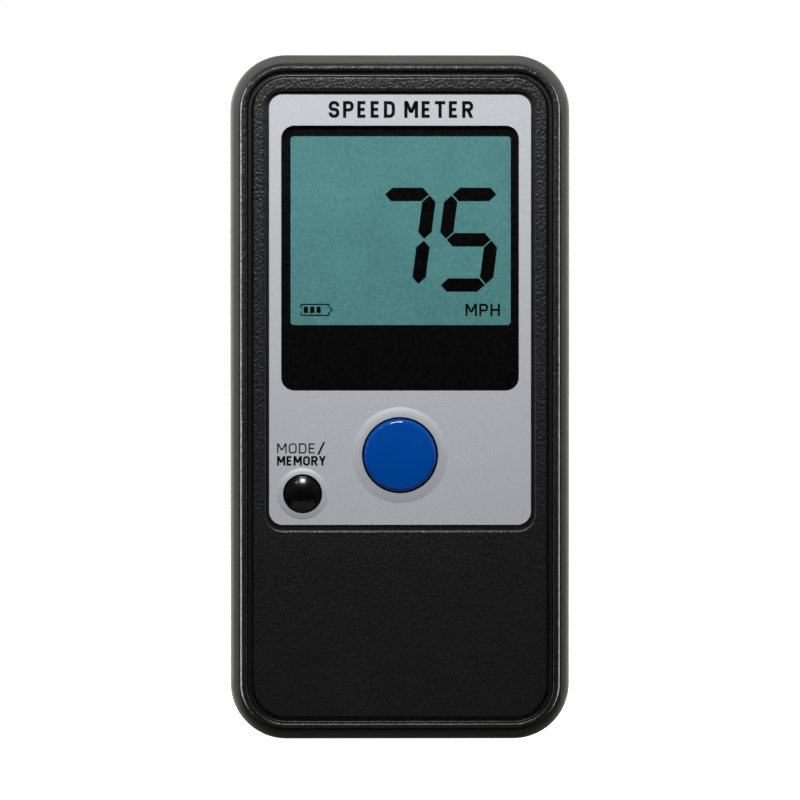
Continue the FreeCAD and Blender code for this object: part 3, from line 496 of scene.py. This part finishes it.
def battery_outlines(left, bottom):
    """A battery symbol: an outline that is open on its left, a nub, and three bars."""
    width, height, line, tab = 5.0 * MM, 2.07 * MM, 0.2 * MM, 0.72 * MM
    nub, nub_half, nub_end_half = 0.53 * MM, 0.5 * MM, 0.1 * MM
    first_bar, bar_pitch, bar_width, bar_half = 0.56 * MM, 1.1 * MM, 0.72 * MM, 0.54 * MM
    right, top = left + width, bottom + height
    middle = bottom + height / 2
    outlines = [
        bar(left, right, top - line, top),
        bar(left, right, bottom, bottom + line),
        bar(left, left + line, top - tab, top - line),
        bar(left, left + line, bottom + line, bottom + tab),
        bar(right - line, right, middle + nub_half, top - line),
        bar(right - line, right, bottom + line, middle - nub_half),
    ]
    tip = right + nub - line
    for side in (-1, 1):
        slope = [(right - line, middle + side * nub_half), (right, middle + side * nub_half),
                 (tip + line, middle + side * nub_end_half), (tip + line, middle), (tip, middle)]
        outlines.append(slope if side < 0 else slope[::-1])
    for index in range(3):
        start = left + first_bar + index * bar_pitch
        outlines.append(bar(start, start + bar_width, middle - bar_half, middle + bar_half))
    return outlines


# Capital letters, each as its width for a cap height of 1, its pen strokes and its slopes.
# A stroke's points are (x, z, corner radius), where x and z go from 0 to 1 between the middles
# of the outermost pen lines. The named places are at the letter's very edges.
# A slope is a slanting bar with level ends, from (x, z) to (x, z) across the whole letter.

BOWL = 0.19                     # corner radius of the round letters, for a cap height of 1
LETTERS = {
    "D": (0.66, [[(0.5, 0, 0), (0, 0, 0), (0, 1, 0), (0.4, 1, 0)],
                 [(0.4, 1, 0), (1, 1, 0.24), (1, 0, 0.24), (0.4, 0, 0)]], []),
    "E": (0.58, [[(1, 1, 0), (0, 1, 0), (0, 0, 0), (1, 0, 0)], [(0, 0.5, 0), (0.9, 0.5, 0)]], []),
    "H": (0.68, [[(0, "foot", 0), (0, "cap", 0)], [(1, "foot", 0), (1, "cap", 0)],
                 [(0, 0.5, 0), (1, 0.5, 0)]], []),
    "M": (0.82, [[(0, "foot", 0), (0, "cap", 0)], [(1, "foot", 0), (1, "cap", 0)]],
          [((0, 1), (0.5, 0.3)), ((1, 1), (0.5, 0.3))]),
    "O": (0.68, [[(0.5, 0, 0), (0, 0, 0.22), (0, 1, 0.22), (0.5, 1, 0)],
                 [(0.5, 1, 0), (1, 1, 0.22), (1, 0, 0.22), (0.5, 0, 0)]], []),
    "P": (0.64, [[(0, "foot", 0), (0, 1, 0), (1, 1, BOWL), (1, 0.46, BOWL), (0, 0.46, 0)]], []),
    "R": (0.66, [[(0, "foot", 0), (0, 1, 0), (1, 1, BOWL), (1, 0.48, BOWL), (0, 0.48, 0)]],
          [((0.55, 0.46), (1, 0))]),
    "S": (0.64, [[(1, 0.72, 0), (1, 1, BOWL), (0, 1, BOWL), (0, 0.5, BOWL), (1, 0.5, BOWL),
                  (1, 0, BOWL), (0, 0, BOWL), (0, 0.28, 0)]], []),
    "T": (0.62, [[("left", 1, 0), ("right", 1, 0)], [(0.5, "foot", 0), (0.5, 1, 0)]], []),
    "Y": (0.68, [[(0.5, "foot", 0), (0.5, 0.45, 0)]],
          [((0, 1), (0.5, 0.4)), ((1, 1), (0.5, 0.4))]),
    "/": (0.66, [], [((1, 1.12), (0, -0.12))]),
}
SLASH_WEIGHT = 1.4              # the slash is drawn this much bolder than the letters
WORD_GAP = 0.34                 # space between words, for a cap height of 1
ARC_STEPS = 6                   # pieces in a rounded corner
MITRE_LIMIT = 0.3               # keeps a sharp corner's mitre short


def pen_line(points):
    """A stroke's points, with an arc at each rounded corner, which has to be a right angle."""
    line = []
    for index, (x, z, radius) in enumerate(points):
        corner = Vector((x, z))
        if radius == 0:
            line.append(corner)
            continue
        before = (Vector(points[index - 1][:2]) - corner).normalized()
        after = (Vector(points[index + 1][:2]) - corner).normalized()
        centre = corner + (before + after) * radius
        for step in range(ARC_STEPS + 1):
            turn = math.radians(90 / ARC_STEPS * step)
            line.append(centre - after * radius * math.cos(turn) - before * radius * math.sin(turn))
    return line


def ribbon(line, thickness):
    """The outline of a line drawn this thick, with mitred corners and square ends."""
    left, right = [], []
    for index, point in enumerate(line):
        into = point - line[index - 1] if index else line[1] - point
        out = line[index + 1] - point if index + 1 < len(line) else into
        into, out = into.normalized(), out.normalized()
        along = (into + out).normalized()
        across = Vector((-along.y, along.x))
        reach = across * thickness / 2 / max(across.dot(Vector((-out.y, out.x))), MITRE_LIMIT)
        left.append(point + reach)
        right.append(point - reach)
    return right + left[::-1]


def letter_outlines(letter, left, bottom, height, stretch, pen):
    """One capital at this place and cap height. Stretch widens it, and pen is its line width."""
    share, strokes, slopes = LETTERS[letter]
    width = share * stretch * height
    inner_width, inner_height = width - pen, height - pen
    named = {"foot": -pen / 2, "cap": inner_height + pen / 2,
             "left": -pen / 2, "right": inner_width + pen / 2}
    outlines = []
    for stroke in strokes:
        points = [(named[x] if x in named else x * inner_width,
                   named[z] if z in named else z * inner_height, radius * height)
                  for x, z, radius in stroke]
        line = pen_line(points)
        outlines.append([(left + pen / 2 + p.x, bottom + pen / 2 + p.y) for p in ribbon(line, pen)])
    for (x0, z0), (x1, z1) in slopes:
        top = left + pen / 2 + x0 * inner_width
        foot = left + pen / 2 + x1 * inner_width
        run, rise = foot - top, (z0 - z1) * height
        weight = SLASH_WEIGHT if letter == "/" else 1.0
        half = weight * pen / 2 * math.hypot(run, rise) / rise
        # A slope that starts at the letter's side is drawn in, to stay inside the letter.
        if x0 == 0:
            top += half - pen / 2
        elif x0 == 1:
            top -= half - pen / 2
        outlines.append([(foot - half, bottom + z1 * height), (foot + half, bottom + z1 * height),
                         (top + half, bottom + z0 * height), (top - half, bottom + z0 * height)])
    return outlines


def lettering(name, words, box, front, thickness, pen, material, stretch=1.0):
    """Words in capitals, spaced out to fill box = (left, right, bottom, top)."""
    left, right, bottom, top = box
    height = top - bottom
    letters = [letter for letter in words if letter != " "]
    used = sum(LETTERS[letter][0] * stretch * height for letter in letters)
    used += words.count(" ") * WORD_GAP * height
    gap = (right - left - used) / (len(letters) - 1)
    outlines = []
    for letter in words:
        if letter == " ":
            left += WORD_GAP * height
            continue
        outlines += letter_outlines(letter, left, bottom, height, stretch, pen)
        left += LETTERS[letter][0] * stretch * height + gap
    plates(name, outlines, front, front + thickness, material)


def display_segments():
    """What the display shows: a two-digit speed, its unit and a battery symbol."""
    ink = print_ink("segment_black", srgb(5, 5, 6), 0.28)
    front, back = glass_front - 0.03 * MM, glass_front - 0.01 * MM
    tens_left, units_left, digits_bottom = -4.78 * MM, 6.88 * MM, 78.34 * MM
    digits = digit_outlines("7", tens_left, digits_bottom)
    digits += digit_outlines("5", units_left, digits_bottom)
    plates("display_digits", digits, front, back, ink)
    symbol_left, symbol_bottom = -17.15 * MM, 73.02 * MM
    symbol = battery_outlines(symbol_left, symbol_bottom)
    plates("display_battery_symbol", symbol, front, back, ink)
    unit_box, pen = (11.3 * MM, 17.25 * MM, 73.0 * MM, 75.1 * MM), 0.36 * MM
    lettering("display_unit", "MPH", unit_box, front, back - front, pen, ink,
              stretch=1.15)


def label_prints():
    """Generic words printed on the label: a title and the small button's function."""
    ink = print_ink("label_ink", srgb(8, 8, 9), 0.32)
    thickness, clearance = 0.012 * MM, 0.002 * MM
    front = label_back - LABEL_THICKNESS - clearance - thickness
    bold, light, medium = 0.57 * MM, 0.23 * MM, 0.34 * MM
    title_box = (-12.3 * MM, 12.6 * MM, 107.1 * MM, 110.0 * MM)
    lettering("label_title", "SPEED METER", title_box, front, thickness, bold, ink)
    upper_box = (-21.2 * MM, -12.9 * MM, 49.3 * MM, 51.05 * MM)
    lettering("label_mode_upper", "MODE/", upper_box, front, thickness, light, ink,
              stretch=1.15)
    lower_box = (-21.2 * MM, -12.8 * MM, 47.2 * MM, 48.85 * MM)
    lettering("label_mode_lower", "MEMORY", lower_box, front, thickness, medium, ink,
              stretch=1.05)


# ---- Studio ------------------------------------------------------------------------------

def aim(thing, place, target):
    """Puts a light or camera at place, looking at target."""
    thing.location = place
    thing.rotation_mode = "QUATERNION"
    thing.rotation_quaternion = (Vector(target) - Vector(place)).to_track_quat("-Z", "Y")


# Each lit panel's name, place, width and height in metres, and power in watts.
PANELS = (
    ("key", (-0.016, -0.2, 0.24), (0.07, 0.06), 0.52),
    ("second", (-0.105, -0.2, 0.21), (0.02, 0.02), 0.025),
    ("low", (0.0, -0.2, -0.14), (0.4, 0.15), 0.055),
    ("left_panel", (-0.7, 0.3, 0.08), (0.8, 0.8), 15.0),
    ("right_panel", (0.7, 0.3, 0.08), (0.8, 0.8), 11.0),
    ("back_panel", (0.25, 0.6, 0.45), (0.5, 0.4), 1.2),
)
OVERHEAD_STRENGTH = 0.2
OVERHEAD_SPREAD = math.radians(60)
OVERHEAD_PLACE = (-0.05, -0.12, 1.0)


def hang(light, place, target):
    """Puts a light at place, pointing at target."""
    holder = bpy.data.objects.new(light.name, light)
    bpy.context.scene.collection.objects.link(holder)
    aim(holder, place, target)


def lights():
    """A compact softbox near the front with a weaker one to its left, a faint one below,
    broad panels at both sides and behind, and soft light from above."""
    for name, place, size, power in PANELS:
        light = bpy.data.lights.new(name, "AREA")
        light.shape = "RECTANGLE"
        light.size, light.size_y = size
        light.energy = power
        hang(light, place, (0, 0, case_high.z / 2))
    overhead = bpy.data.lights.new("overhead", "SUN")
    overhead.energy = OVERHEAD_STRENGTH
    overhead.angle = OVERHEAD_SPREAD
    hang(overhead, OVERHEAD_PLACE, (0, 0, 0))


# How the ambient light fades with the direction that it comes from. Each row is an axis, the
# direction's part along it where the fade starts and ends, and the strength at both of those.
# The rows' strengths are multiplied.
AMBIENT_FADES = (
    ("Y", -0.95, -0.3, 0.04, 0.26),
    ("Z", -0.4, 0.25, 0.06, 1.0),
)


def surroundings():
    """A white background for the camera. What lights the object is dimmer, and dimmest below
    and in front of it, where a photographer's side of a studio is dark."""
    world = bpy.data.worlds.new("studio")
    bpy.context.scene.world = world
    world.use_nodes = True
    nodes, links = world.node_tree.nodes, world.node_tree.links
    ambient = nodes["Background"]
    backdrop = nodes.new("ShaderNodeBackground")
    for background in (ambient, backdrop):
        background.inputs["Color"].default_value = (1, 1, 1, 1)
    split = nodes.new("ShaderNodeSeparateXYZ")
    links.new(nodes.new("ShaderNodeTexCoord").outputs["Generated"], split.inputs["Vector"])
    strength = nodes.new("ShaderNodeMath")
    strength.operation = "MULTIPLY"
    for index, (axis, start, end, low, high) in enumerate(AMBIENT_FADES):
        fade = nodes.new("ShaderNodeMapRange")
        fade.inputs["From Min"].default_value = start
        fade.inputs["From Max"].default_value = end
        fade.inputs["To Min"].default_value = low
        fade.inputs["To Max"].default_value = high
        links.new(split.outputs[axis], fade.inputs["Value"])
        links.new(fade.outputs["Result"], strength.inputs[index])
    links.new(strength.outputs["Value"], ambient.inputs["Strength"])
    mix = nodes.new("ShaderNodeMixShader")
    links.new(nodes.new("ShaderNodeLightPath").outputs["Is Camera Ray"], mix.inputs["Fac"])
    links.new(ambient.outputs["Background"], mix.inputs[1])
    links.new(backdrop.outputs["Background"], mix.inputs[2])
    links.new(mix.outputs["Shader"], nodes["World Output"].inputs["Surface"])


def floor():
    """A white floor that the camera sees, and that neither lights nor shades the object."""
    half = 6.0
    corners = [(-half, -half, 0), (half, -half, 0), (half, half, 0), (-half, half, 0)]
    mesh = bpy.data.meshes.new("floor")
    mesh.from_pydata(corners, [], [(0, 1, 2, 3)])
    finish = Finish("floor_white", Emission_Color=(1, 1, 1, 1), Emission_Strength=0.9)
    speck = finish.patches(40 * MM, 0, 1, 3)
    finish.drive("Base Color", finish.tint(speck, (0.9, 0.9, 0.9, 1), (0.92, 0.92, 0.92, 1)))
    finish.drive("Roughness", 0.9)
    finish.drive("Specular IOR Level", 0.1)
    mesh.materials.append(finish.material)
    plane = bpy.data.objects.new("floor", mesh)
    bpy.context.scene.collection.objects.link(plane)
    plane.visible_diffuse = False
    plane.visible_glossy = False
    plane.visible_shadow = False


def camera():
    """Nearly straight on to the display, from a little to its left and above."""
    distance, frame_height, target_height = 0.95, 0.138, 58.5 * MM
    azimuth, elevation = math.radians(-0.9), math.radians(0.6)
    target = Vector((0.0, case_low.y, target_height))
    back = Vector((math.sin(azimuth) * math.cos(elevation), -math.cos(azimuth) * math.cos(elevation),
                   math.sin(elevation)))
    data = bpy.data.cameras.new("camera")
    data.lens = data.sensor_width * distance / frame_height
    holder = bpy.data.objects.new("camera", data)
    bpy.context.scene.collection.objects.link(holder)
    aim(holder, target + back * distance, target)
    bpy.context.scene.camera = holder
    bpy.context.scene.view_settings.view_transform = "Standard"


camera()
surroundings()
floor()
lights()
paint_nodes()
window_print()
display_segments()
label_prints()
